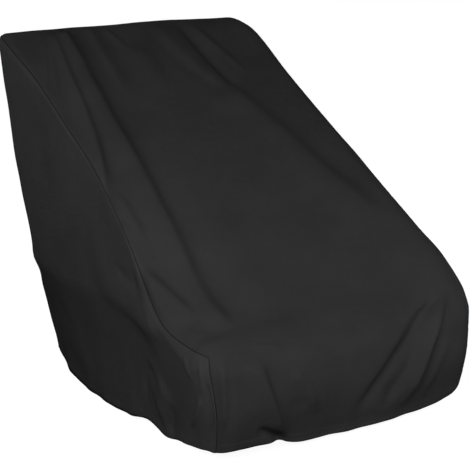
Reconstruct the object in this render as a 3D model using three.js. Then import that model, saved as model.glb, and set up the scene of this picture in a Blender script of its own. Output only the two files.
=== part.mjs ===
// Fitted cover for one high-backed lounge chair: a long main panel and two side panels of coated cloth.
// Millimetres, +Z up, the front faces -Y, the hem's lowest point at Z 0.
import * as THREE from "three";

// The cloth and its seams.
const CLOTH = 1.5; // thickness, its seam allowances and hem turnings pressed flat
const SEAM_PLAY = 0.8; // gap left between two panels at a seam
const SEAM_CALM = 26; // folds die out this near to a seam

// The plain box that the cover is shaped from.
const HALF_WIDTH = 385;
const DEPTH = 900;
const SLOPE_CLOTH = 1.35; // cloth along the slope for each unit of the box's depth
const STAND = { x: 5.093, y: -16.423, z: 26.845 }; // brings the finished cover over the origin

// Height of the upper side at the left seam, the middle and the right seam, from front (0) to rear (1).
const UPPER = [
  { share: 0.0, left: 288, middle: 252, right: 269 },
  { share: 0.1, left: 273, middle: 293, right: 366 },
  { share: 0.22, left: 308, middle: 380, right: 424 },
  { share: 0.36, left: 493, middle: 492, right: 501 },
  { share: 0.5, left: 624, middle: 598, right: 585 },
  { share: 0.64, left: 711, middle: 697, right: 674 },
  { share: 0.78, left: 800, middle: 786, right: 774 },
  { share: 0.9, left: 858, middle: 854, right: 869 },
  { share: 1.0, left: 907, middle: 907, right: 877 },
];

// Where the front and the rear stand at a height: the back is reclined, the skirt a little full.
const UPRIGHT = [
  { height: 0, front: -524, rear: 564 },
  { height: 110, front: -549, rear: 562 },
  { height: 200, front: -541, rear: 510 },
  { height: 300, front: -522, rear: 397 },
  { height: 500, front: -515, rear: 425 },
  { height: 900, front: -500, rear: 589 },
];

// Half widths at a height, above the ridge of the skirt.
const BREADTH = [
  { height: 270, left: 403, right: 403 },
  { height: 600, left: 402, right: 384 },
  { height: 900, left: 371, right: 394 },
];

// Radius of the rounded edges from front to rear: the side seam on the left lies on a sharp fold.
const ROUNDING = [
  { share: 0.0, left: 76, right: 64 },
  { share: 0.08, left: 66, right: 78 },
  { share: 0.2, left: 24, right: 66 },
  { share: 0.6, left: 14, right: 53 },
  { share: 1.0, left: 30, right: 55 },
];
// What the skirt's rear corners are rounder by at the hem, from a share of the depth on, over another.
const REAR_ROUNDING = { radius: 60, from: 0.5, over: 0.4 };

// Height of the hem along the front and rear (left to right) and the sides (front to rear).
const HEM_ACROSS = [
  { share: 0 / 9, front: 17, rear: 2 },
  { share: 1 / 9, front: 13, rear: 2 },
  { share: 2 / 9, front: 8, rear: -1 },
  { share: 3 / 9, front: -8, rear: -6 },
  { share: 4 / 9, front: -11, rear: -4 },
  { share: 5 / 9, front: -14, rear: -5 },
  { share: 6 / 9, front: -14, rear: -8 },
  { share: 7 / 9, front: -10, rear: -3 },
  { share: 8 / 9, front: 1, rear: 2 },
  { share: 9 / 9, front: 36, rear: 5 },
];
const HEM_ALONG = [
  { share: 0 / 12, left: 17, right: 36 },
  { share: 1 / 12, left: 3, right: 14 },
  { share: 2 / 12, left: -11, right: 2 },
  { share: 3 / 12, left: -23, right: -4 },
  { share: 4 / 12, left: -4, right: -6 },
  { share: 5 / 12, left: -15, right: -10 },
  { share: 6 / 12, left: -23, right: -12 },
  { share: 7 / 12, left: -27, right: -12 },
  { share: 8 / 12, left: -25, right: -10 },
  { share: 9 / 12, left: -22, right: -7 },
  { share: 10 / 12, left: -4, right: -3 },
  { share: 11 / 12, left: 14, right: 1 },
  { share: 12 / 12, left: 2, right: 5 },
];

// Height of the skirt's ridge from front to rear.
const RIDGE = [
  { share: 0.0, height: 258 },
  { share: 0.25, height: 271 },
  { share: 0.5, height: 279 },
  { share: 0.75, height: 280 },
  { share: 1.0, height: 313 },
];
const SOFTNESS = { hem: 20, hollow: 8 }; // how gradually the cloth turns in below the ridge

// How far the hem is drawn in.
const DRAWN_IN = { sideFront: 28, sideRear: 10, front: 18, rear: -5 };

// How much further the skirt of a side hangs in at the floor, from front to rear.
const HOLLOW = [
  { share: 0.0, depth: 0 },
  { share: 0.2, depth: 22 },
  { share: 0.45, depth: 16 },
  { share: 0.7, depth: 38 },
  { share: 0.85, depth: 68 },
  { share: 1.0, depth: 127 },
];
const HOLLOW_BEND = 0.75; // how much of that already lies close below the ridge

// Gathers along the drawn-in hem.
const GATHER = { reach: 70, pitch: 118, second: 1.65, front: 1.5, rear: 4, left: 1.5, right: 4 };

// Folds of the main panel: a bent path of three places, across from the middle and along from the front
// edge (down the front below 0, up the slope above it, down the rear past the top), its breadth to the left
// and right of that path as seen from outside, and its height at either end, a trough where negative.
const MAIN_FOLDS = [
  { u1: -208, v1: 1200, u2: -271, v2: 620, u3: -258, v3: 90, left: 22, right: 48, start: 12, end: 10 },
  { u1: -250, v1: 1110, u2: -310, v2: 840, u3: -390, v3: 520, left: 16, right: 24, start: 4, end: 9 },
  { u1: -264, v1: 1185, u2: -307, v2: 1010, u3: -352, v3: 840, left: 13, right: 14, start: 6, end: 5 },
  { u1: -390, v1: 395, u2: -346, v2: 330, u3: -308, v3: 224, left: 17, right: 28, start: 10, end: 8 },
  { u1: -106, v1: 1190, u2: -138, v2: 1050, u3: -164, v3: 840, left: 26, right: 16, start: 5, end: 3 },
  { u1: -12, v1: 1080, u2: -35, v2: 960, u3: -60, v3: 830, left: 30, right: 46, start: 4, end: 3 },
  { u1: 62, v1: 1180, u2: 84, v2: 1000, u3: 138, v3: 820, left: 50, right: 18, start: 6, end: 3 },
  { u1: 166, v1: 1180, u2: 160, v2: 1000, u3: 172, v3: 830, left: 22, right: 18, start: -5, end: -4 },
  { u1: 120, v1: 880, u2: 200, v2: 570, u3: 288, v3: 290, left: 36, right: 72, start: 8, end: 7 },
  { u1: -245, v1: 18, u2: -208, v2: 2, u3: -168, v3: -18, left: 15, right: 14, start: 4, end: 4 },
  { u1: -246, v1: -40, u2: -226, v2: -140, u3: -184, v3: -256, left: 13, right: 30, start: 5, end: 7 },
  { u1: -168, v1: -90, u2: -118, v2: -117, u3: -84, v3: -206, left: 14, right: 18, start: 5, end: 4 },
  { u1: -266, v1: -208, u2: -220, v2: -225, u3: -162, v3: -264, left: 13, right: 15, start: -5, end: -12 },
  { u1: 285, v1: 32, u2: 150, v2: -80, u3: 15, v3: -228, left: 24, right: 16, start: -9, end: -9 },
  { u1: 308, v1: 26, u2: 224, v2: -90, u3: 163, v3: -258, left: 13, right: 19, start: 8, end: 10 },
  { u1: -348, v1: 10, u2: -359, v2: -85, u3: -382, v3: -195, left: 16, right: 10, start: 6, end: 7 },
  { u1: -300, v1: 1250, u2: -190, v2: 1480, u3: -150, v3: 1820, left: 34, right: 44, start: -8, end: -5 },
  { u1: 310, v1: 1250, u2: 230, v2: 1560, u3: 210, v3: 1900, left: 40, right: 46, start: -9, end: -5 },
  { u1: -40, v1: 1400, u2: 30, v2: 1640, u3: 60, v3: 2000, left: 46, right: 52, start: 3, end: 8 },
];

// Folds of the side panels: places along from the front and down from the side seam.
const LEFT_FOLDS = [
  { u1: 286, v1: -8, u2: 338, v2: 92, u3: 438, v3: 216, left: 26, right: 16, start: 8, end: 5 },
  { u1: 252, v1: 195, u2: 304, v2: 300, u3: 372, v3: 490, left: 22, right: 14, start: 4, end: 5 },
  { u1: 176, v1: 150, u2: 222, v2: 236, u3: 284, v3: 372, left: 14, right: 20, start: -4, end: -15 },
  { u1: 22, v1: 90, u2: 18, v2: 150, u3: 20, v3: 268, left: 12, right: 12, start: -3, end: -5 },
];
const RIGHT_FOLDS = [
  { u1: 40, v1: 30, u2: 150, v2: 120, u3: 260, v3: 300, left: 20, right: 24, start: -8, end: -9 },
  { u1: 260, v1: 30, u2: 400, v2: 180, u3: 520, v3: 300, left: 26, right: 30, start: -9, end: -5 },
  { u1: 380, v1: 60, u2: 560, v2: 230, u3: 700, v3: 420, left: 30, right: 34, start: 6, end: 4 },
  { u1: 850, v1: 120, u2: 720, v2: 380, u3: 560, v3: 520, left: 40, right: 44, start: -8, end: -5 },
];

const SIDE_FOLDS = { left: LEFT_FOLDS, right: RIGHT_FOLDS };

const FADE = 80; // cloth that a fold takes to rise at either end
const MOST_FADE = 0.3; // the most of its length that this may be
const LEGS = 12; // straight legs that a fold's path is measured by

// How finely the panels are faceted.
const STEPS = { across: 26, along: 28, down: 14, crowding: 0.75, leading: 0.7, leftLean: 1.1 };

const STEP = 0.5; // either way from a place, to find how the cover runs there

const COLOUR = 0x2a2a2b;

function clamp(value, low, high) {
  return Math.min(Math.max(value, low), high);
}

function ease(value) {
  const t = clamp(value, 0, 1);
  return t * t * (3 - 2 * t);
}

/** What a value is above 0, with a soft turn there. */
function softly(value, softness) {
  return softness * Math.log1p(Math.exp(value / softness));
}

/** A smooth reading of one column of a table. */
function curve(table, key, column) {
  const place = table.map((row) => row[key]);
  const value = table.map((row) => row[column]);
  const last = place.length - 1;
  const rise = place.slice(1).map((p, i) => (value[i + 1] - value[i]) / (p - place[i]));
  const lean = place.map((_, i) => {
    if (i === 0) return rise[0];
    return i === last ? rise[last - 1] : (rise[i - 1] + rise[i]) / 2;
  });
  return (where) => {
    let i = 0;
    while (i < last - 1 && where >= place[i + 1]) i += 1;
    const span = place[i + 1] - place[i];
    const t = clamp((where - place[i]) / span, 0, 1);
    const back = 1 - t;
    return (1 + 2 * t) * back * back * value[i] + t * back * back * span * lean[i]
      + t * t * (3 - 2 * t) * value[i + 1] - t * t * back * span * lean[i + 1];
  };
}

const upper = ["left", "middle", "right"].map((column) => curve(UPPER, "share", column));
const upright = ["front", "rear"].map((column) => curve(UPRIGHT, "height", column));
const breadth = ["left", "right"].map((column) => curve(BREADTH, "height", column));
const rounding = ["left", "right"].map((column) => curve(ROUNDING, "share", column));
const ridgeHeight = curve(RIDGE, "share", "height");
const hollow = curve(HOLLOW, "share", "depth");
const hemAcross = { front: curve(HEM_ACROSS, "share", "front"), rear: curve(HEM_ACROSS, "share", "rear") };
const hemAlong = { left: curve(HEM_ALONG, "share", "left"), right: curve(HEM_ALONG, "share", "right") };

/** Height of the upper side over a place of the plain box. */
function upperHeight(x, y) {
  const share = y / DEPTH;
  const side = x / HALF_WIDTH;
  const middle = upper[1](share);
  const edge = side < 0 ? upper[0](share) : upper[2](share);
  return middle + (edge - middle) * side * side;
}

/** Rounds the plain box's edges: the place there and the way out of it. */
function roundedBox(x, y, below) {
  const share = y / DEPTH;
  const turn = (clamp(x / HALF_WIDTH, -1, 1) + 1) / 2;
  const ridge = ridgeHeight(share);
  const sunk = clamp((ridge + SOFTNESS.hem - upperHeight(x, y) + below) / ridge, 0, 1);
  const radius = rounding[0](share) * (1 - turn) + rounding[1](share) * turn
    + REAR_ROUNDING.radius * sunk * ease((share - REAR_ROUNDING.from) / REAR_ROUNDING.over);
  const core = [
    clamp(x, radius - HALF_WIDTH, HALF_WIDTH - radius),
    clamp(y, radius, DEPTH - radius),
    Math.max(below, radius),
  ];
  const out = [x - core[0], y - core[1], below - core[2]];
  const far = Math.hypot(...out);
  return { at: core.map((c, i) => c + (radius * out[i]) / far), out };
}

/** From the plain box (across, from the front, below the upper side) to the cover. */
function cover(x, y, below) {
  const share = y / DEPTH;
  const side = x / HALF_WIDTH;
  const height = upperHeight(x, y) - below;
  const front = upright[0](height);
  const rear = upright[1](height);
  const ridge = ridgeHeight(share);
  const under = softly(ridge - height, SOFTNESS.hem) / ridge;
  const narrowed = under * (DRAWN_IN.sideFront + (DRAWN_IN.sideRear - DRAWN_IN.sideFront) * share);
  const deep = softly(ridge - height, SOFTNESS.hollow) / ridge;
  const sunk = hollow(share) * deep * (1 + HOLLOW_BEND * (1 - deep));
  const half = side < 0 ? breadth[0](height) : breadth[1](height);
  const nearFront = clamp(1 - 2 * share, 0, 1) ** 2;
  const nearRear = clamp(2 * share - 1, 0, 1) ** 2;
  const tucked = DRAWN_IN.front * nearFront - DRAWN_IN.rear * nearRear;
  return new THREE.Vector3(
    side * (half - (narrowed + sunk) * Math.abs(side)) + STAND.x,
    front + share * (rear - front) + under * tucked + STAND.y,
    height + STAND.z,
  );
}

/** Height of all folds of a table at a place of the panel, each a soft trough or ridge along its path. */
function folds(table, u, v) {
  let height = 0;
  for (const f of table) {
    const cu = 2 * f.u2 - (f.u1 + f.u3) / 2;
    const cv = 2 * f.v2 - (f.v1 + f.v3) / 2;
    const length = Math.hypot(f.u2 - f.u1, f.v2 - f.v1) + Math.hypot(f.u3 - f.u2, f.v3 - f.v2);
    const rise = Math.min(MOST_FADE, FADE / length);
    let near = Infinity;
    let along = 0;
    let [pu, pv] = [f.u1, f.v1];
    for (let i = 1; i <= LEGS; i += 1) {
      const t = i / LEGS;
      const qu = (1 - t) ** 2 * f.u1 + 2 * t * (1 - t) * cu + t * t * f.u3;
      const qv = (1 - t) ** 2 * f.v1 + 2 * t * (1 - t) * cv + t * t * f.v3;
      const [du, dv] = [qu - pu, qv - pv];
      const s = clamp(((u - pu) * du + (v - pv) * dv) / (du * du + dv * dv), 0, 1);
      const [ou, ov] = [u - pu - s * du, v - pv - s * dv];
      const gap = Math.hypot(ou, ov) * (du * ov - dv * ou > 0 ? 1 : -1);
      if (Math.abs(gap) < Math.abs(near)) {
        near = gap;
        along = (i - 1 + s) / LEGS;
      }
      [pu, pv] = [qu, qv];
    }
    const fade = ease(along / rise) * ease((1 - along) / rise);
    const body = f.start + (f.end - f.start) * along;
    height += body * fade * Math.exp(-((near / (near > 0 ? f.left : f.right)) ** 2));
  }
  return height;
}

/** Gathers that grow toward the hem. */
function gathers(where, toHem, size) {
  const turn = (2 * Math.PI * where) / GATHER.pitch;
  const wave = Math.cos(turn) + 0.5 * Math.cos(GATHER.second * turn);
  return size * wave * Math.exp(-toHem / GATHER.reach);
}

/** A place on the main panel: across, and a step along the strip from the front hem to the rear hem. */
function mainPlace(x, row) {
  const across = (x + HALF_WIDTH) / (2 * HALF_WIDTH);
  const calm = ease((HALF_WIDTH - Math.abs(x)) / SEAM_CALM);
  if (row.part === "slope") {
    const y = row.share * DEPTH;
    return { x, y, below: 0, lift: folds(MAIN_FOLDS, x, y * SLOPE_CLOTH) * calm };
  }
  const y = row.part === "front" ? 0 : DEPTH;
  const drop = upperHeight(x, y) - hemAcross[row.part](across);
  const below = row.share * drop;
  const v = row.part === "front" ? -below : DEPTH * SLOPE_CLOTH + below;
  const lift = folds(MAIN_FOLDS, x, v) + gathers(x, drop - below, GATHER[row.part]);
  return { x, y, below, lift: lift * calm };
}

/** A place on a side panel: from the front seam to the rear seam, and down from the side seam to the hem. */
function sidePlace(side, alongShare, downShare) {
  const x = side === "left" ? -HALF_WIDTH : HALF_WIDTH;
  const y = clamp(alongShare * DEPTH, SEAM_PLAY, DEPTH - SEAM_PLAY);
  const drop = upperHeight(x, y) - hemAlong[side](alongShare);
  const below = Math.max(downShare * drop, SEAM_PLAY);
  const calm = ease(y / SEAM_CALM) * ease((DEPTH - y) / SEAM_CALM) * ease(below / SEAM_CALM);
  const lift = folds(SIDE_FOLDS[side], y, below) + gathers(y, drop - below, GATHER[side]);
  return { x, y, below, lift: lift * calm };
}

/** The cloth's two faces at a place, square to the cover there. */
function faces(place) {
  const { at, out } = roundedBox(place.x, place.y, place.below);
  const [dx, dy, dBelow] = [0, 1, 2].map((i) => {
    const [ahead, behind] = [STEP, -STEP].map((by) => cover(...at.map((c, k) => c + (k === i ? by : 0))));
    return ahead.sub(behind);
  });
  const outward = new THREE.Vector3()
    .addScaledVector(dBelow.clone().cross(dy), out[0])
    .addScaledVector(dx.clone().cross(dBelow), out[1])
    .addScaledVector(dy.clone().cross(dx), out[2])
    .normalize();
  return [place.lift, place.lift - CLOTH].map((by) => cover(...at).addScaledVector(outward, by));
}

/** A closed sheet between an outer and an inner grid of places. */
function sheet(name, grid) {
  const rows = grid.length;
  const cols = grid[0].length;
  const points = [0, 1].flatMap((face) => grid.flatMap((row) => row.map((pair) => pair[face])));
  const index = (face, r, c) => (face * rows + r) * cols + c;
  const triangles = [];
  const quad = (a, b, c, d) => triangles.push(a, b, c, a, c, d);
  for (let r = 0; r < rows - 1; r += 1) {
    for (let c = 0; c < cols - 1; c += 1) {
      quad(index(0, r, c), index(0, r, c + 1), index(0, r + 1, c + 1), index(0, r + 1, c));
      quad(index(1, r, c), index(1, r + 1, c), index(1, r + 1, c + 1), index(1, r, c + 1));
    }
  }
  const rim = [];
  for (let c = 0; c < cols - 1; c += 1) rim.push([0, c]);
  for (let r = 0; r < rows - 1; r += 1) rim.push([r, cols - 1]);
  for (let c = cols - 1; c > 0; c -= 1) rim.push([rows - 1, c]);
  for (let r = rows - 1; r > 0; r -= 1) rim.push([r, 0]);
  rim.forEach(([r, c], i) => {
    const [nextR, nextC] = rim[(i + 1) % rim.length];
    quad(index(0, nextR, nextC), index(0, r, c), index(1, r, c), index(1, nextR, nextC));
  });
  const geometry = new THREE.BufferGeometry();
  geometry.setAttribute("position", new THREE.Float32BufferAttribute(points.flatMap((p) => p.toArray()), 3));
  geometry.setIndex(triangles);
  geometry.computeVertexNormals();
  const material = new THREE.MeshStandardMaterial({ color: COLOUR, roughness: 0.82, metalness: 0 });
  const mesh = new THREE.Mesh(geometry, material);
  mesh.name = name;
  return mesh;
}

/** Shares from 0 to 1, crowded toward both ends. */
function crowded(count) {
  return Array.from({ length: count + 1 }, (_, i) => {
    const s = i / count;
    return (1 - STEPS.crowding) * s + (STEPS.crowding * (1 - Math.cos(Math.PI * s))) / 2;
  });
}

/** Shares from 0 to 1, crowded toward the start. */
function leading(count) {
  return Array.from({ length: count + 1 }, (_, i) => {
    const s = i / count;
    return (1 - STEPS.leading) * s + STEPS.leading * s * s;
  });
}

/** One strip: up the front, over the slope and the top, down the rear. */
function mainPanel() {
  const down = leading(STEPS.down).slice(1);
  const rows = [
    ...down.toReversed().map((share) => ({ part: "front", share })),
    ...crowded(STEPS.along).map((share) => ({ part: "slope", share })),
    ...down.map((share) => ({ part: "rear", share })),
  ];
  const edge = HALF_WIDTH - SEAM_PLAY;
  const across = crowded(STEPS.across).map((s) => -edge + 2 * edge * s ** STEPS.leftLean);
  return sheet("main_panel", rows.map((row) => across.map((x) => faces(mainPlace(x, row)))));
}

/** One side, its columns from front to rear on the left and from rear to front on the right. */
function sidePanel(side) {
  const along = crowded(STEPS.along);
  const columns = side === "left" ? along : along.toReversed();
  const rows = leading(STEPS.down);
  const grid = rows.map((down) => columns.map((share) => faces(sidePlace(side, share, down))));
  return sheet(`side_panel_${side}`, grid);
}

const chairCover = new THREE.Group();
chairCover.name = "chair_cover";
chairCover.add(mainPanel(), sidePanel("left"), sidePanel("right"));

export default chairCover;
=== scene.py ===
"""Looks of a fitted cover for one high-backed lounge chair. Metres, +Z up, the front faces -Y.

Three sewn panels of thin dark cloth, each in place of its solid in the frame: the main panel, which runs
from the front hem over the slope and the top to the rear hem, and the two side panels.

A panel is a grid on a plain box with rounded edges. The box is bent into the cover by the tables below, and
each point is then moved along the outward direction by the folds, gathers and puckers of the cloth there.
"""

import math

import bpy
import numpy as np
from mathutils import Matrix, Vector


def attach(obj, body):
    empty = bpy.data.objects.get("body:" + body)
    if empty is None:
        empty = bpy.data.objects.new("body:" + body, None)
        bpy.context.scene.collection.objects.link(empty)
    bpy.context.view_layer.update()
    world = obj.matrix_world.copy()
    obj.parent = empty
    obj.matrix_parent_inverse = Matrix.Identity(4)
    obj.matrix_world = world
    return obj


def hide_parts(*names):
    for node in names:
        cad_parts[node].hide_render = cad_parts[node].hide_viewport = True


bpy.context.scene.view_settings.view_transform = "Standard"
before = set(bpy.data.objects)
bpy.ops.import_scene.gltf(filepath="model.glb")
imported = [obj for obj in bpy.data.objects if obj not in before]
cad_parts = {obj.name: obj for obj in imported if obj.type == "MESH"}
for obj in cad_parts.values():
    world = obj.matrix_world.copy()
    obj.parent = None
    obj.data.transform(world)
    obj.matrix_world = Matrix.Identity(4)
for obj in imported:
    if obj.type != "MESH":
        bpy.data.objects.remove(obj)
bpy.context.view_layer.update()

MM = 0.001  # metres to a millimetre

# ---------------------------------------------------------------- sizes of the cover, in millimetres

CLOTH = 1.5  # thickness
SEAM_PLAY = 0.02  # from the seam line to each panel's edge
HALF_WIDTH = 385.0  # half width of the plain box that the cover is shaped from
DEPTH = 900.0  # its depth
SLOPE_CLOTH = 1.35  # cloth along the slope for each unit of the box's depth
SIDE_CLOTH = 1.1  # cloth along a side for each unit of the box's depth
STAND = (5.1, -16.4, 26.8)  # brings the cover over the origin

# Height of the upper side at the left seam, the middle and the right seam, at a share of the depth.
UPPER = {
    "share": (0.0, 0.10, 0.22, 0.36, 0.50, 0.64, 0.78, 0.90, 1.0),
    "left": (288, 273, 308, 493, 624, 711, 800, 858, 907),
    "middle": (252, 293, 380, 492, 598, 697, 786, 854, 907),
    "right": (269, 366, 424, 501, 585, 674, 774, 869, 877),
}
# Where the front and the rear stand at a height.
UPRIGHT = {
    "height": (0, 110, 200, 300, 500, 900),
    "front": (-524, -549, -541, -522, -515, -500),
    "rear": (566, 568, 512, 396, 425, 589),
}
# Half widths at a height, above the ridge of the skirt.
BREADTH = {
    "height": (270, 600, 900),
    "left": (403, 402, 371),
    "right": (403, 384, 394),
}
# Radius of the rounded edges, front to rear. The side seam on the left lies on a sharp fold.
ROUNDING = {
    "share": (0.0, 0.08, 0.2, 0.6, 1.0),
    "left": (76, 66, 24, 14, 30),
    "right": (64, 78, 66, 53, 55),
}
# What the hem's rear corners are rounder by, and the shares of the depth from and over which that grows.
REAR_ROUNDING = {"radius": 90.0, "from": 0.5, "over": 0.4}
# Height of the hem across the front and the rear (left to right), and along the sides (front to rear).
HEM_ACROSS = {
    "share": tuple(i / 9 for i in range(10)),
    "front": (17, 13, 8, -8, -11, -14, -14, -10, 1, 36),
    "rear": (2, 2, -1, -6, -4, -5, -8, -3, 2, 5),
}
HEM_ALONG = {
    "share": tuple(i / 12 for i in range(13)),
    "left": (17, 4, -10, -22, -5, -17, -24, -26, -25, -24, -9, 15, 2),
    "right": (36, 14, 2, -4, -6, -10, -12, -12, -10, -7, -3, 1, 5),
}
# Height of the skirt's ridge, front to rear.
RIDGE = {
    "share": (0.0, 0.25, 0.5, 0.75, 1.0),
    "height": (256, 285, 293, 286, 312),
}
# How gradually the cloth turns in below the ridge: where the hem draws it in, and into a side's hollow.
SOFTNESS = {"hem": 20.0, "hollow": 8.0}
# How far the hem draws the cloth in at height 0: a side's front and rear end, the front and the rear.
DRAWN_IN = {"side_front": 29.0, "side_rear": 10.0, "front": 18.0, "rear": -5.0}
# How much further the skirt of a side hangs in at height 0, front to rear.
HOLLOW = {
    "share": (0.0, 0.2, 0.45, 0.7, 0.85, 1.0),
    "depth": (0, 22, 24, 46, 78, 124),
}
HOLLOW_BEND = 1.0  # how much of that lies close below the ridge already: 0 for a straight fall
NUDGE = 0.5  # step to either side for measuring how the cover runs


def clamp(value, low, high):
    """The value kept between two limits."""
    return np.minimum(np.maximum(value, low), high)


def softly(value, softness):
    """The value where it is well above 0, and 0 well below it, with a soft turn: s ln(1 + exp(value / s))."""
    return softness * np.logaddexp(0.0, value / softness)


def ease(value):
    """A smooth step from 0 to 1 as the value t goes from 0 to 1: t squared times (3 - 2 t)."""
    t = clamp(value, 0.0, 1.0)
    return t * t * (3 - 2 * t)


def curve(table, key, column):
    """A smooth reading of a table's column as a function of its key: a cubic between each two rows.

    Its lean at a row is the mean of the straight rises on either side, and past the ends it stays level.
    """
    place = np.array(table[key], float)
    value = np.array(table[column], float)
    rise = np.diff(value) / np.diff(place)
    lean = np.concatenate([rise[:1], (rise[1:] + rise[:-1]) / 2, rise[-1:]])

    def read(where):
        i = np.clip(np.searchsorted(place, where, side="right") - 1, 0, len(place) - 2)
        span = place[i + 1] - place[i]
        t = clamp((where - place[i]) / span, 0, 1)
        back = 1 - t
        low = (1 + 2 * t) * back**2 * value[i] + t * back**2 * span * lean[i]
        return low + t * t * (3 - 2 * t) * value[i + 1] - t * t * back * span * lean[i + 1]

    return read


upper = {c: curve(UPPER, "share", c) for c in ("left", "middle", "right")}
upright = {c: curve(UPRIGHT, "height", c) for c in ("front", "rear")}
breadth = {c: curve(BREADTH, "height", c) for c in ("left", "right")}
rounding = {c: curve(ROUNDING, "share", c) for c in ("left", "right")}
ridge_height = curve(RIDGE, "share", "height")
hollow = curve(HOLLOW, "share", "depth")
hem = {c: curve(HEM_ACROSS, "share", c) for c in ("front", "rear")}
hem.update({c: curve(HEM_ALONG, "share", c) for c in ("left", "right")})


def upper_height(x, y):
    """Height of the upper side over a place of the plain box: from the middle's to a seam's, as x squared."""
    share, side = y / DEPTH, x / HALF_WIDTH
    middle = upper["middle"](share)
    edge = np.where(side < 0, upper["left"](share), upper["right"](share))
    return middle + (edge - middle) * side**2


def rounded_box(x, y, below):
    """The plain box with its edges rounded: the place there, and the way out of it.

    The place is the nearest point of a smaller box, whose faces lie one radius deep, and one radius outward.
    The radius goes evenly from the left's to the right's, and below the ridge it grows toward the rear hem.
    """
    share = y / DEPTH
    turn = (clamp(x / HALF_WIDTH, -1, 1) + 1) / 2
    radius = rounding["left"](share) * (1 - turn) + rounding["right"](share) * turn
    ridge = ridge_height(share)
    sunk = clamp((ridge + SOFTNESS["hem"] - upper_height(x, y) + below) / ridge, 0, 1)
    rearward = ease((share - REAR_ROUNDING["from"]) / REAR_ROUNDING["over"])
    radius = radius + REAR_ROUNDING["radius"] * sunk * rearward
    core = np.stack(
        [
            clamp(x, radius - HALF_WIDTH, HALF_WIDTH - radius),
            clamp(y, radius, DEPTH - radius),
            np.maximum(below, radius),
        ],
        -1,
    )
    out = np.stack([x, y, below], -1) - core
    out = out / np.linalg.norm(out, axis=-1, keepdims=True)
    return core + radius[..., None] * out, out


def cover(box):
    """From a place of the plain box (across, from the front, below the upper side) to the cover.

    Across, it is the side's share of the half width at that height, less what the hem draws in and what the
    side's hollow takes, both as the share squared. In depth, it lies evenly from the front to the rear at
    that height, moved inward by the hem's draw, which fades to nothing at mid-depth as a square.
    """
    x, y, below = box[..., 0], box[..., 1], box[..., 2]
    share, side = y / DEPTH, x / HALF_WIDTH
    height = upper_height(x, y) - below
    front, rear = upright["front"](height), upright["rear"](height)
    ridge = ridge_height(share)
    under = softly(ridge - height, SOFTNESS["hem"]) / ridge
    drawn = DRAWN_IN["side_front"] + (DRAWN_IN["side_rear"] - DRAWN_IN["side_front"]) * share
    half = np.where(side < 0, breadth["left"](height), breadth["right"](height))
    deep = softly(ridge - height, SOFTNESS["hollow"]) / ridge
    sunk = hollow(share) * deep * (1 + HOLLOW_BEND * (1 - deep))
    tucked = DRAWN_IN["front"] * clamp(1 - 2 * share, 0, 1) ** 2
    tucked = tucked - DRAWN_IN["rear"] * clamp(2 * share - 1, 0, 1) ** 2
    return np.stack(
        [
            side * (half - (under * drawn + sunk) * np.abs(side)) + STAND[0],
            front + share * (rear - front) + under * tucked + STAND[1],
            height + STAND[2],
        ],
        -1,
    )


def surface(x, y, below):
    """Place and outward direction of the cover.

    The direction is the box's own, carried over by the cross products of how the cover runs in each of the
    box's three directions, so that it stays square to the bent surface.
    """
    at, out = rounded_box(x, y, below)
    dx, dy, down = (cover(at + step) - cover(at - step) for step in NUDGE * np.eye(3))
    outward = np.cross(down, dy) * out[..., 0:1]
    outward = outward + np.cross(dx, down) * out[..., 1:2] + np.cross(dy, dx) * out[..., 2:3]
    return cover(at), outward / np.linalg.norm(outward, axis=-1, keepdims=True)


# ---------------------------------------------------------------- folds

FOLD_COLUMNS = ("u1", "v1", "u2", "v2", "u3", "v3", "left", "right", "start", "end")
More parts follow.
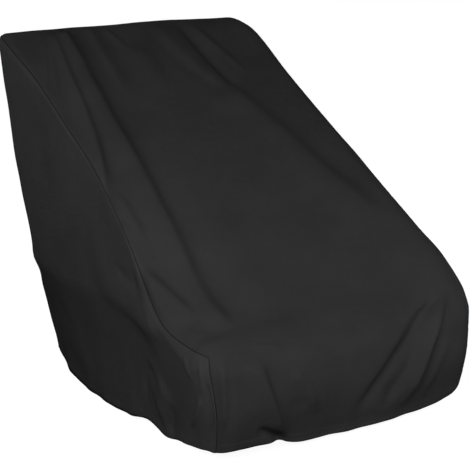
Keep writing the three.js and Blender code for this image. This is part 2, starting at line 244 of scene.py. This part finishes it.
# Each row is one soft fold, in millimetres of cloth. Its bent path has three places: across from the
# middle, and along from the front edge (down the front below 0, up the slope above it, down the rear past
# the top). left and right are its breadth on either side of that path, looking along it from outside,
# and start and end its height at either end, a trough where negative.
MAIN_FOLDS = (
    # the fan at the left of the slope, from the top corner down to the seat
    (-200, 1190, -272, 640, -261, 110, 24, 48, 20, 18),
    (-200, 1195, -218, 1060, -232, 930, 42, 20, 8, 3),
    (-232, 1165, -288, 965, -316, 780, 12, 13, 11, 12),
    (-312, 850, -337, 705, -390, 515, 14, 20, 12, 16),
    (-240, 1170, -292, 1040, -354, 885, 9, 10, 7, 4),
    (-262, 1165, -314, 1035, -377, 890, 9, 10, 7, 4),
    # the inverted V over the arm, and the small creases below it
    (-398, 356, -346, 298, -316, 176, 17, 28, 22, 18),
    (-379, 350, -377, 312, -376, 276, 5, 6, 4, 3),
    (-373, 296, -369, 272, -360, 246, 6, 6, 4, 3),
    (-354, 530, -352, 465, -347, 395, 13, 16, 4, 7),
    (-392, 470, -372, 452, -352, 446, 6, 6, -3, -1),
    (-392, 432, -372, 414, -352, 404, 6, 6, -3, -1),
    # soft drags from the top edge
    (-106, 1190, -138, 1050, -164, 840, 26, 13, 11, 5),
    (-62, 1165, -60, 1110, -56, 1040, 12, 12, 5, 4),
    (-12, 1080, -35, 960, -60, 830, 30, 46, 8, 5),
    (92, 1180, 82, 1000, 138, 820, 50, 14, 12, 7),
    (176, 1180, 156, 980, 168, 830, 18, 18, -11, -8),
    (186, 1150, 202, 1020, 234, 880, 13, 18, 8, 5),
    (120, 880, 200, 570, 288, 290, 36, 72, 14, 12),
    # the front face
    (-245, 18, -208, 2, -168, -18, 15, 14, 3, 3),
    (-246, -25, -228, -135, -166, -258, 12, 30, 11, 14),
    (-176, -80, -128, -112, -96, -206, 13, 18, 8, 7),
    (-176, -146, -146, -158, -122, -140, 16, 16, -2, -2),
    (-266, -212, -218, -228, -158, -270, 11, 15, -5, -19),
    (285, 32, 150, -76, 15, -228, 24, 15, -15, -15),
    (268, 0, 174, -122, 98, -240, 16, 42, -7, -18),
    (308, 26, 224, -90, 163, -258, 12, 19, 14, 16),
    (292, -78, 254, -150, 216, -250, 11, 13, 4, 5),
    (-334, -10, -349, -120, -358, -215, 9, 12, 7, 8),
    # the rear
    (-300, 1250, -190, 1480, -150, 1820, 34, 44, -8, -5),
    (310, 1250, 230, 1560, 210, 1900, 40, 46, -9, -5),
    (-40, 1400, 30, 1640, 60, 2000, 46, 52, 3, 8),
)
# Places along a side panel from the front, and down from its upper seam. From outside, the right panel's
# places lie mirrored, so there left and right change over.
LEFT_FOLDS = (
    (200, 0, 306, 172, 520, 362, 20, 45, 12, 6),
    (268, 20, 322, 118, 400, 180, 10, 12, -5, -4),
    (212, 185, 226, 262, 250, 350, 22, 20, 6, 11),
    (188, 215, 195, 272, 206, 325, 14, 13, -4, -7),
    (248, 225, 286, 310, 302, 430, 8, 9, -6, -5),
    (46, 120, 72, 170, 106, 226, 8, 8, 6, 6),
    (38, 20, 36, 70, 44, 130, 7, 8, 4, 3),
    (22, 80, 20, 150, 20, 262, 8, 7, -5, -6),
    (96, 24, 84, 56, 70, 90, 7, 7, 4, 4),
)
RIGHT_FOLDS = (
    (40, 30, 150, 120, 260, 300, 20, 24, -8, -9),
    (260, 30, 400, 180, 520, 300, 26, 30, -9, -5),
    (380, 60, 560, 230, 700, 420, 30, 34, 6, 4),
    (850, 120, 720, 380, 560, 520, 40, 44, -8, -5),
)
SEAM_CALM = 14.0  # folds die out this near to a seam
FADE = 80.0  # cloth that a fold takes to rise at either end
FADE_MOST = 0.3  # and the most of its length that this may be
PATH_PLACES = 15  # places that a fold's path is measured from
FAR = 1e9  # further than any two places of the cloth
# Gathers of the drawn-in hem: two waves along it, the second half as high and with more turns.
GATHER = {"pitch": 118.0, "second_turns": 1.65, "second_height": 0.5, "reach": 70.0}
GATHER_HEIGHT = {"front": 1.5, "slope": 0.0, "rear": 4.0, "left": 1.5, "right": 4.0}
# Puckers that the stitching draws along a seam: their height at it, how far they reach from it, the lengths
# of their waves, and the place down a front corner where they end, with the cloth that they fade over.
PUCKER = {"height": 0.9, "reach": 11.0, "lengths": (15, 21, 31), "ends": -240, "fade": 60}
# How uneven they are along the seam: their mean size, what it goes up and down by, and the lengths of that.
PUCKER_SIZE = {"mean": 0.55, "varies": 0.45, "lengths": (170, 260, 410)}
PUCKER_SEED = {"left": 11, "right": 23}
CORNER_CALM = 40.0  # puckers die out this near to a corner of the box
# Wide unevenness of loose cloth: crossed waves of each length, as high as that length over the flatness.
SLACK = {"lengths": (340, 230, 150, 95), "ways": 3, "flatness": 600}
MAIN_SLACK_SEED = 5


def fold_height(table, u, v):
    """Height of all folds of a table, added up.

    A fold's path is the parabola through its three places. Away from it the fold falls off as a bell curve,
    exp(-(gap / breadth) squared), and along it the height goes evenly from start to end, eased at both ends.
    """
    total = np.zeros_like(u)
    for row in table:
        f = dict(zip(FOLD_COLUMNS, row))
        ends = np.array([[f["u1"], f["v1"]], [f["u3"], f["v3"]]], float)
        middle = np.array([f["u2"], f["v2"]], float)
        pull = 2 * middle - ends.mean(0)
        t = np.linspace(0, 1, PATH_PLACES)[:, None]
        path = (1 - t) ** 2 * ends[0] + 2 * t * (1 - t) * pull + t * t * ends[1]
        near = np.full(u.shape, FAR)
        along = np.zeros_like(u)
        for i, (a, b) in enumerate(zip(path[:-1], path[1:])):
            du, dv = b - a
            s = clamp(((u - a[0]) * du + (v - a[1]) * dv) / (du * du + dv * dv), 0, 1)
            ou, ov = u - a[0] - s * du, v - a[1] - s * dv
            gap = np.hypot(ou, ov) * np.where(du * ov - dv * ou > 0, 1, -1)
            closer = np.abs(gap) < np.abs(near)
            near = np.where(closer, gap, near)
            along = np.where(closer, (i + s) / (len(path) - 1), along)
        length = np.hypot(*np.diff(path, axis=0).T).sum()
        share = min(FADE_MOST, FADE / length)
        fade = ease(along / share) * ease((1 - along) / share)
        body = f["start"] + (f["end"] - f["start"]) * along
        total += body * fade * np.exp(-((near / np.where(near > 0, f["left"], f["right"])) ** 2))
    return total


def gathers(where, to_hem, height):
    """Two waves along the hem, of cosines, which fade away from it as exp(-distance / reach)."""
    turn = 2 * math.pi * where / GATHER["pitch"]
    both = np.cos(turn) + GATHER["second_height"] * np.cos(GATHER["second_turns"] * turn)
    return height * both * np.exp(-to_hem / GATHER["reach"])


def waves(where, seed, lengths):
    """A repeatable uneven line from -1 to 1: the mean of sines of the given lengths with seeded phases."""
    draw = np.random.default_rng(seed)
    return sum(np.sin(2 * math.pi * (where / w + draw.random())) for w in lengths) / len(lengths)


def pucker(run, gap, seed):
    """Height of a seam's puckers: waves along it, of uneven size, which fade away as exp(-gap / reach)."""
    size = PUCKER_SIZE["mean"] + PUCKER_SIZE["varies"] * waves(run, seed + 1, PUCKER_SIZE["lengths"])
    ends = ease((run - PUCKER["ends"]) / PUCKER["fade"])
    small = waves(run, seed, PUCKER["lengths"])
    return PUCKER["height"] * size * ends * small * np.exp(-gap / PUCKER["reach"])


def slack(u, v, seed):
    """Height of the loose cloth's unevenness: sines of seeded directions and phases, added up."""
    draw = np.random.default_rng(seed)
    total = np.zeros_like(u)
    for length in SLACK["lengths"]:
        for _ in range(SLACK["ways"]):
            way = draw.random() * math.pi
            along = (u * math.cos(way) + v * math.sin(way)) / length
            total += length * np.sin(2 * math.pi * (along + draw.random()))
    return total / SLACK["flatness"]


# ---------------------------------------------------------------- panels

SPREAD_STEPS = 2000  # steps that a grid's closeness is added up over


def spread(count, closeness):
    """count + 1 shares from 0 to 1, closer together where the table (share, closeness) is higher."""
    s = np.linspace(0, 1, SPREAD_STEPS + 1)
    w = np.interp(s, *zip(*closeness))
    c = np.concatenate([[0], np.cumsum((w[1:] + w[:-1]) / 2)])
    return np.interp(np.linspace(0, c[-1], count + 1), c, s)


# Lines of the grids: along the depth, down a face and across the main panel, closer near seams and hems.
ALONG = spread(214, ((0, 2.6), (0.08, 1.3), (0.9, 1.0), (0.96, 2.6), (1, 3.0)))
DOWN = spread(72, ((0, 3.0), (0.12, 1.6), (0.4, 1.0), (1, 1.0)))
ACROSS = spread(132, ((0, 2.2), (0.06, 1.5), (0.4, 1.3), (0.5, 0.8), (0.9, 0.8), (1, 2.2)))
# The turned hem and the cloth lapped and sewn down beside a seam: how deep, how much thicker than the
# cloth, and the cloth over which each comes up to that. At the seam itself the lap comes up from start
# over start_slope.
HEM = {"depth": 20.0, "rise": 0.7, "slope": 2.0}
LAP = {"depth": 9.0, "rise": 0.35, "slope": 1.5, "start": -0.8, "start_slope": 2.0}
NO_HEM = 1e3  # distance to the hem where a face has none


def main_grid():
    """The main panel: across the box, and along its strip, up the front, over the slope and down the rear.

    On the front and the rear, the rows go from the upper side down to the hem in shares of that drop.
    """
    x = (ACROSS * 2 - 1) * (HALF_WIDTH - SEAM_PLAY)
    share = (x / HALF_WIDTH + 1) / 2
    parts = []
    for part, steps in (("front", DOWN[::-1][:-1]), ("slope", ALONG), ("rear", DOWN[1:])):
        u, s = np.meshgrid(x, steps)
        if part == "slope":
            y, below, to_hem = s * DEPTH, np.zeros_like(u), np.full(u.shape, NO_HEM)
            v, run = y * SLOPE_CLOTH, y
        else:
            y = np.full(u.shape, 0.0 if part == "front" else DEPTH)
            drop = upper_height(u, y) - hem[part](share)
            below = s * drop
            to_hem = drop - below
            v = -below if part == "front" else DEPTH * SLOPE_CLOTH + below
            run = -below if part == "front" else DEPTH + below
        parts.append((u, y, below, to_hem, v, run, gathers(u, to_hem, GATHER_HEIGHT[part])))
    u, y, below, to_hem, v, run, gather = (np.concatenate(p) for p in zip(*parts))
    gap = HALF_WIDTH - np.abs(u)
    loose = fold_height(MAIN_FOLDS, u, v) + gather + slack(u, v, MAIN_SLACK_SEED)
    lift = loose * ease(gap / SEAM_CALM)
    corner = ease(np.abs(run) / CORNER_CALM) * ease(np.abs(run - DEPTH) / CORNER_CALM)
    left, right = (pucker(run, gap, PUCKER_SEED[side]) * corner for side in ("left", "right"))
    lift += np.where(u < 0, left, right)
    lap = ease((LAP["depth"] - gap) / LAP["slope"]) * ease((gap - LAP["start"]) / LAP["start_slope"])
    facts = {"uv": (u, v), "seam_gap": gap, "seam_run": run * SLOPE_CLOTH, "hem_gap": to_hem, "hem_run": u}
    return u, y, below, lift, lap, facts


def side_grid(side):
    """A side panel: along the side seam from front to rear, and down from that seam to the hem.

    Its puckers belong to three seams: the upper one, the front corner's and the rear corner's.
    """
    way = -1 if side == "left" else 1
    along = ALONG if side == "left" else ALONG[::-1]
    s, down = np.meshgrid(along, DOWN)
    x = np.full(s.shape, way * HALF_WIDTH)
    y = clamp(s * DEPTH, SEAM_PLAY, DEPTH - SEAM_PLAY)
    drop = upper_height(x, y) - hem[side](s)
    below = np.maximum(down * drop, SEAM_PLAY)
    to_hem = drop - below
    calm = ease(y / SEAM_CALM) * ease((DEPTH - y) / SEAM_CALM) * ease(below / SEAM_CALM)
    folds = fold_height(LEFT_FOLDS if side == "left" else RIGHT_FOLDS, y, below)
    seed = PUCKER_SEED[side]
    lift = (folds + gathers(y, to_hem, GATHER_HEIGHT[side]) + slack(y, below, seed)) * calm
    upper_seam = (y, below, np.minimum(y, DEPTH - y))
    front_seam = (-below, y, below)
    rear_seam = (DEPTH + below, DEPTH - y, below)
    for run, gap, to_corner in (upper_seam, front_seam, rear_seam):
        lift += pucker(run, gap, seed) * ease(to_corner / CORNER_CALM)
    gap = np.minimum(np.minimum(below, y), DEPTH - y)
    run = np.where(below <= gap, y * SLOPE_CLOTH, below)
    facts = {"uv": (y * SIDE_CLOTH, below), "seam_gap": gap, "seam_run": run, "hem_gap": to_hem, "hem_run": y}
    return x, y, below, lift, np.zeros_like(y), facts


def quad_mesh(name, points, faces):
    """A smooth-shaded mesh of four-sided faces, in metres."""
    mesh = bpy.data.meshes.new(name)
    mesh.vertices.add(len(points))
    mesh.vertices.foreach_set("co", points.ravel())
    mesh.loops.add(faces.size)
    mesh.loops.foreach_set("vertex_index", faces.ravel())
    mesh.polygons.add(len(faces))
    mesh.polygons.foreach_set("loop_start", np.arange(0, faces.size, 4))
    mesh.polygons.foreach_set("use_smooth", np.ones(len(faces), bool))
    mesh.update(calc_edges=True)
    return mesh


def closed_sheet(name, grid):
    """A closed thin sheet: the outer and inner face of the grid and the rim that joins them, faces outward.

    facts holds, for each point, its place on the cloth and its distance to and place along seam and hem,
    which the material reads.
    """
    x, y, below, lift, lap, facts = grid
    place, out = surface(x, y, below)
    extra = HEM["rise"] * ease((HEM["depth"] - facts["hem_gap"]) / HEM["slope"]) + LAP["rise"] * lap
    outer = place + out * (lift + extra)[..., None]
    inner = place + out * (lift - CLOTH)[..., None]
    points = np.concatenate([outer.reshape(-1, 3), inner.reshape(-1, 3)]) * MM
    k = np.arange(x.size).reshape(x.shape)
    a, b, c, d = (q.ravel() for q in (k[:-1, :-1], k[:-1, 1:], k[1:, 1:], k[1:, :-1]))
    outside = np.stack([a, b, c, d], -1)
    inside = np.stack([a, d, c, b], -1) + k.size
    rim = np.concatenate([k[0, :-1], k[:-1, -1], k[-1, :0:-1], k[:0:-1, 0]])
    onward = np.roll(rim, -1)
    edge = np.stack([onward, rim, rim + k.size, onward + k.size], -1)
    faces = np.concatenate([outside, inside, edge])
    mesh = quad_mesh(name, points, faces)
    uv = np.stack([np.tile(q.ravel(), 2) for q in facts["uv"]], -1) * MM
    mesh.uv_layers.new(name="cloth").uv.foreach_set("vector", uv[faces.ravel()].ravel())
    for key in ("seam_gap", "seam_run", "hem_gap", "hem_run"):
        values = np.tile(facts[key].ravel(), 2) * MM
        mesh.attributes.new(key, "FLOAT", "POINT").data.foreach_set("value", values)
    mesh.validate()
    obj = bpy.data.objects.new(name, mesh)
    bpy.context.scene.collection.objects.link(obj)
    return obj


# ---------------------------------------------------------------- materials

# The cloth's look. Lengths are in metres.
MAIN_DYE = ((0.0265, 0.0265, 0.0271, 1), (0.0380, 0.0380, 0.0387, 1))  # from dark to light
# The side panels are the same cloth as the main one; their dye is painted lighter to stand in for more light
# falling on the sides.
SIDE_DYE_PAINTED_LIGHTER = ((0.0304, 0.0304, 0.0310, 1), (0.0432, 0.0432, 0.0440, 1))
YARN = 0.0008  # breadth of one yarn of the weave
YARN_CROWN = 0.6  # power that rounds a yarn's top
SLUB = (1400.0, 60.0)  # thick and thin places of the yarns: how many to a metre across and along them
CLOUD = {"scale": 7.0, "detail": 4.0, "roughness": 0.6}  # uneven dye
CRINKLE = {"scale": 38.0, "detail": 5.0, "roughness": 0.62, "distortion": 0.6}  # small creases
TONE = {"cloud": 0.55, "slub": 0.22, "weave": 0.05}  # what each adds to the tone
MATT = {"cloud": 0.6, "weave": 0.4}  # what each adds to how rough the cloth is
ENDS = (0.2, 0.8)  # sums of these at which the tone and the roughness reach their ends
ROUGHNESS = (0.78, 0.9)  # and what roughness is there
RELIEF = {"weave": 0.00016, "crinkle": 0.0016, "slub": 0.00012, "thread": 0.0003}  # heights
# Stitching: length of a stitch and its gap, half the thread's breadth where it is full and where it ends,
# the part of the stitch's wave that is gap, and how strongly the thread's colour shows.
STITCH = {"pitch": 0.0042, "full": 0.0003, "ends": 0.0009, "gap": -0.75, "thread": -0.2, "share": 0.35}
SEAM_ROWS = (0.0022, 0.0078)  # rows of stitching, from the seam
HEM_ROW = 0.0185  # the row that holds the turned hem, from its edge
THREAD_COLOUR = (0.052, 0.052, 0.053, 1)
# Painted shade in a seam: a dark line in the colour that stands for the shadow in its gap. How far from the
# seam it is full and where it ends, and how strong it is.
SEAM_SHADE_LINE = {"full": 0.0008, "ends": 0.0024, "share": 0.8}
SEAM_SHADE_COLOUR = (0.006, 0.006, 0.006, 1)


class Nodes:
    """Makes and joins the shader nodes of one material or world in a few words."""

    def __init__(self, owner):
        """Starts on the owner's empty node tree."""
        owner.use_nodes = True
        self.tree = owner.node_tree
        self.tree.nodes.clear()

    def add(self, kind, settings=None, **inputs):
        """A node with its settings. An input is named as its socket, or i and the socket's number."""
        node = self.tree.nodes.new(kind)
        for key, value in (settings or {}).items():
            setattr(node, key, value)
        for key, value in inputs.items():
            numbered = key[0] == "i" and key[1:].isdigit()
            socket = node.inputs[int(key[1:]) if numbered else key.replace("_", " ")]
            if isinstance(value, bpy.types.NodeSocket):
                self.tree.links.new(value, socket)
            else:
                socket.default_value = value
        return node

    def math(self, operation, *values):
        """One sum, product, sine or the like of the values."""
        inputs = {f"i{k}": value for k, value in enumerate(values)}
        return self.add("ShaderNodeMath", {"operation": operation}, **inputs).outputs[0]

    def weighted(self, *terms):
        """The sum of the terms, each a value times its weight."""
        products = [self.math("MULTIPLY", value, weight) for value, weight in terms]
        total = products[0]
        for product in products[1:]:
            total = self.math("ADD", total, product)
        return total

    def ramp(self, value, low, high, to_low=0.0, to_high=1.0):
        """A smooth step from to_low to to_high as the value goes from low to high."""
        ends = {"From_Min": low, "From_Max": high, "To_Min": to_low, "To_Max": to_high}
        made = self.add("ShaderNodeMapRange", {"interpolation_type": "SMOOTHSTEP"}, Value=value, **ends)
        return made.outputs["Result"]

    def mix(self, share, first, second):
        """The first colour, with a share of the second."""
        return self.add("ShaderNodeMix", {"data_type": "RGBA"}, i0=share, i6=first, i7=second).outputs[2]

    def noise(self, vector, scale, detail, roughness=0.5, distortion=0.0):
        """Cloudy noise from 0 to 1."""
        inputs = {"Scale": scale, "Detail": detail, "Roughness": roughness, "Distortion": distortion}
        return self.add("ShaderNodeTexNoise", Vector=vector, **inputs).outputs["Fac"]

    def attribute(self, name):
        """A value that the mesh holds for each of its points."""
        return self.add("ShaderNodeAttribute", {"attribute_name": name}).outputs["Fac"]


def yarns(t, place):
    """A sine along one direction of the weave, half a wave to a yarn."""
    return t.math("SINE", t.math("MULTIPLY", place, math.pi / YARN))


def slubs(t, uv, each_u, each_v):
    """Noise on the cloth with so many places to a metre in either direction."""
    settings = {"operation": "MULTIPLY"}
    drawn = t.add("ShaderNodeVectorMath", settings, i0=uv, i1=(each_u, each_v, 1.0))
    return t.noise(drawn.outputs["Vector"], scale=1.0, detail=2.0)


def stitches(t, gap, run, at):
    """Short threads in a row: a narrow band of the gap, broken along the run."""
    aside = t.math("ABSOLUTE", t.math("SUBTRACT", gap, at))
    band = t.math("SUBTRACT", 1.0, t.ramp(aside, STITCH["full"], STITCH["ends"]))
    beat = t.math("SINE", t.math("MULTIPLY", run, 2 * math.pi / STITCH["pitch"]))
    return t.math("MULTIPLY", band, t.ramp(beat, STITCH["gap"], STITCH["thread"]))


def cloth_material(name, dark, light):
    """Matte plain-weave cloth: woven relief, uneven dye, stitch lines by the seams and the hem, and painted
    shade as a dark line in each seam.

    The weave is the product of two crossed sines, whose size to a power is its relief. Dye, slubs and weave
    add up to a tone between dark and light, and weave, creases, slubs and thread add up to the relief.
    """
    material = bpy.data.materials.new(name)
    t = Nodes(material)
    uv = t.add("ShaderNodeUVMap", {"uv_map": "cloth"}).outputs["UV"]
    split = t.add("ShaderNodeSeparateXYZ", Vector=uv)
    check = t.math("MULTIPLY", yarns(t, split.outputs["X"]), yarns(t, split.outputs["Y"]))
    weave = t.math("POWER", t.math("ABSOLUTE", check), YARN_CROWN)
    place = t.add("ShaderNodeTexCoord").outputs["Object"]
    cloud = t.noise(place, **CLOUD)
    slub = t.math("ADD", slubs(t, uv, *SLUB), slubs(t, uv, *SLUB[::-1]))
    crinkle = t.noise(place, **CRINKLE)
    seam_gap, seam_run = t.attribute("seam_gap"), t.attribute("seam_run")
    seam_rows = [stitches(t, seam_gap, seam_run, at) for at in SEAM_ROWS]
    hem_row = stitches(t, t.attribute("hem_gap"), t.attribute("hem_run"), HEM_ROW)
    thread = t.math("MAXIMUM", t.math("MAXIMUM", *seam_rows), hem_row)
    tone = t.weighted((cloud, TONE["cloud"]), (slub, TONE["slub"]), (check, TONE["weave"]))
    colour = t.mix(t.ramp(tone, *ENDS), dark, light)
    colour = t.mix(t.math("MULTIPLY", thread, STITCH["share"]), colour, THREAD_COLOUR)
    # painted shade: the colour darkened along the seam, where its gap would lie in shadow
    seam_shade = t.ramp(seam_gap, SEAM_SHADE_LINE["full"], SEAM_SHADE_LINE["ends"], SEAM_SHADE_LINE["share"], 0.0)
    colour = t.mix(seam_shade, colour, SEAM_SHADE_COLOUR)
    height = t.weighted(
        (weave, RELIEF["weave"]),
        (crinkle, RELIEF["crinkle"]),
        (slub, RELIEF["slub"]),
        (thread, RELIEF["thread"]),
    )
    bump = t.add("ShaderNodeBump", Strength=1.0, Distance=1.0, Height=height).outputs["Normal"]
    matt = t.weighted((cloud, MATT["cloud"]), (weave, MATT["weave"]))
    rough = t.ramp(matt, *ENDS, *ROUGHNESS)
    shader = t.add("ShaderNodeBsdfPrincipled", Base_Color=colour, Roughness=rough, Normal=bump)
    shader.inputs["Specular IOR Level"].default_value = 0.0
    t.add("ShaderNodeOutputMaterial", Surface=shader.outputs[0])
    return material


def panel(name, grid, material):
    """One sewn panel in place of its solid."""
    obj = closed_sheet(name, grid)
    obj.data.materials.append(material)
    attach(obj, "root")
    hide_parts(name.replace("_cloth", ""))


main_cloth = cloth_material("main_cloth", *MAIN_DYE)
# a lighter copy of the main cloth for the sides: painted light
side_cloth = cloth_material("side_cloth", *SIDE_DYE_PAINTED_LIGHTER)
panel("main_panel_cloth", main_grid(), main_cloth)
for side in ("left", "right"):
    panel(f"side_panel_{side}_cloth", side_grid(side), side_cloth)


# ---------------------------------------------------------------- stage, light and camera

MIDDLE = Vector((0.0, -0.15, 0.4))  # what the lights aim at
FLOOR_HALF = 12.0
FLOOR_DROP = 0.001  # how far below the cover's ground the floor lies, so that no faces meet
FLOOR_GREY = (0.2, 0.2, 0.2, 1)
# The floor's glow: how far from the middle it is weakest and where it is full, and how strong it is there.
GLOW = {"near": 0.5, "far": 1.8, "weak": 0.94, "full": 1.0}
SENSOR = 36.0  # the camera's, in millimetres
CAMERA_REACH = (0.1, 100.0)  # the nearest and the furthest thing that the camera takes in


def floor():
    """A plain pale floor that looks white and takes a faint shadow: a round glow, weaker under the cover."""
    mesh = bpy.data.meshes.new("floor")
    ways = ((-1, -1), (1, -1), (1, 1), (-1, 1))
    corners = [(x * FLOOR_HALF, y * FLOOR_HALF, -FLOOR_DROP) for x, y in ways]
    mesh.from_pydata(corners, [], [(0, 1, 2, 3)])
    obj = bpy.data.objects.new("floor", mesh)
    bpy.context.scene.collection.objects.link(obj)
    material = bpy.data.materials.new("pale_floor")
    t = Nodes(material)
    pale = t.add("ShaderNodeBsdfDiffuse", Color=FLOOR_GREY).outputs[0]
    place = t.add("ShaderNodeTexCoord").outputs["Object"]
    away = t.add("ShaderNodeVectorMath", {"operation": "LENGTH"}, i0=place).outputs["Value"]
    glow = t.ramp(away, GLOW["near"], GLOW["far"], GLOW["weak"], GLOW["full"])
    white = t.add("ShaderNodeEmission", Strength=glow).outputs[0]
    both = t.add("ShaderNodeAddShader", i0=pale, i1=white).outputs[0]
    mix = t.add("ShaderNodeMixShader", i0=seen(t), i1=pale, i2=both).outputs[0]
    t.add("ShaderNodeOutputMaterial", Surface=mix)
    obj.data.materials.append(material)


def seen(t):
    """1 on rays that show the backdrop itself: from the camera, a gloss or a clear piece."""
    path = t.add("ShaderNodeLightPath")
    sharp = t.math("MAXIMUM", path.outputs["Is Glossy Ray"], path.outputs["Is Transmission Ray"])
    return t.math("MAXIMUM", path.outputs["Is Camera Ray"], sharp)


def surround(fill):
    """A white backdrop all round, which lights the object with a fill of its own strength."""
    world = bpy.data.worlds.new("surround")
    t = Nodes(world)
    shown = t.add("ShaderNodeBackground", Strength=1.0).outputs[0]
    light = t.add("ShaderNodeBackground", Strength=fill).outputs[0]
    mix = t.add("ShaderNodeMixShader", i0=seen(t), i1=light, i2=shown).outputs[0]
    t.add("ShaderNodeOutputWorld", Surface=mix)
    bpy.context.scene.world = world


def toward(azimuth, elevation):
    """The direction of an azimuth from the front, positive to the right, and an elevation, in degrees."""
    a, e = math.radians(azimuth), math.radians(elevation)
    return Vector((math.sin(a) * math.cos(e), -math.cos(a) * math.cos(e), math.sin(e)))


def softbox(name, azimuth, elevation, distance, size, power):
    """A square soft light at an angle round the cover, aimed at its middle. Metres, degrees and watts."""
    light = bpy.data.lights.new(name, "AREA")
    light.shape = "SQUARE"
    light.size = size
    light.energy = power
    obj = bpy.data.objects.new(name, light)
    back = toward(azimuth, elevation)
    obj.location = MIDDLE + back * distance
    obj.rotation_mode = "QUATERNION"
    obj.rotation_quaternion = (-back).to_track_quat("-Z", "Y")
    bpy.context.scene.collection.objects.link(obj)


def camera(azimuth, elevation, distance, roll, target, lens):
    """A camera at an angle round its target, rolled about its line of sight. Degrees and metres."""
    back = toward(azimuth, elevation)
    data = bpy.data.cameras.new("camera")
    data.sensor_width = SENSOR
    data.lens = lens
    data.clip_start, data.clip_end = CAMERA_REACH
    obj = bpy.data.objects.new("camera", data)
    level = (-back).to_track_quat("-Z", "Y").to_matrix().to_4x4()
    turn = level @ Matrix.Rotation(math.radians(roll), 4, "Z")
    obj.matrix_world = Matrix.Translation(Vector(target) + back * distance) @ turn
    bpy.context.scene.collection.objects.link(obj)
    bpy.context.scene.camera = obj


floor()
surround(fill=0.01)
softbox("key_light", azimuth=-47, elevation=22, distance=2.9, size=1.2, power=58)
softbox("front_light", azimuth=24, elevation=17, distance=2.4, size=1.2, power=25)
softbox("left_light", azimuth=-105, elevation=40, distance=1.9, size=1.0, power=6.6)
softbox("rear_light", azimuth=155, elevation=35, distance=2.8, size=1.8, power=14)
camera(
    azimuth=-31.303,
    elevation=14.134,
    distance=4.03,
    roll=-2.282,
    target=(-0.0662, -0.1604, 0.4453),
    lens=122.55,
)
